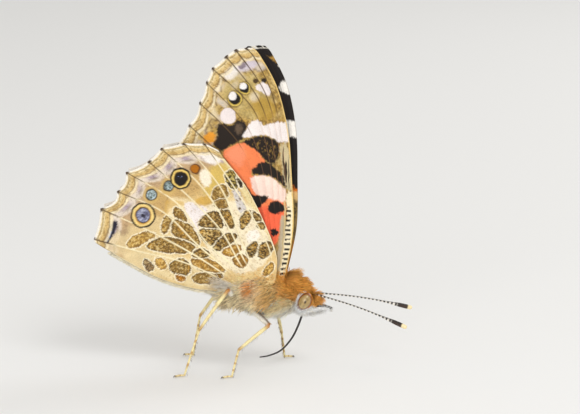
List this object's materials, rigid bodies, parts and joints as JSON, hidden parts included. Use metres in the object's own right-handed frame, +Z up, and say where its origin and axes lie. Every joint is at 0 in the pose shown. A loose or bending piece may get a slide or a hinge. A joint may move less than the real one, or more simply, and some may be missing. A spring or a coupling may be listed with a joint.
{
  "type": "painted lady butterfly",
  "caption": "Life-size still butterfly standing with its wings closed upright over its back, patterned undersides outward, clubbed feelers forward and a curved proboscis",
  "frame": {"origin": "middle of the bounding box, on the floor under the feet", "axes": "+Z up, the butterfly faces -Y, its left side is +X"},
  "size_m": [0.0134, 0.042, 0.0433],
  "materials": {
    "body_fur": "dense soft fur, orange-brown above and cream below",
    "abdomen": "short matte scales, buff with darker rings",
    "eye": "smooth glossy olive-brown",
    "antenna": "fine matte scales, dark with white bands and a pale tip",
    "palp": "shaggy white scales, dark along the top",
    "proboscis": "smooth satin horn, near black",
    "leg": "smooth satin horn with short scales and spines",
    "forewing": "powdery matte scales, coral with black, white and olive markings",
    "hindwing": "powdery matte scales, buff and brown net with small eyespots"
  },
  "bodies": {
    "root": {"thorax": "body_fur", "head": "body_fur", "abdomen": "abdomen", "eye_left": "eye", "eye_right": "eye", "antenna_left": "antenna", "antenna_right": "antenna", "palp_left": "palp", "palp_right": "palp", "proboscis": "proboscis", "foreleg_left": "leg", "foreleg_right": "leg", "midleg_left": "leg", "midleg_right": "leg", "hindleg_left": "leg", "hindleg_right": "leg", "forewing_left": "forewing", "forewing_right": "forewing", "hindwing_left": "hindwing", "hindwing_right": "hindwing"}
  },
  "joints": []
}
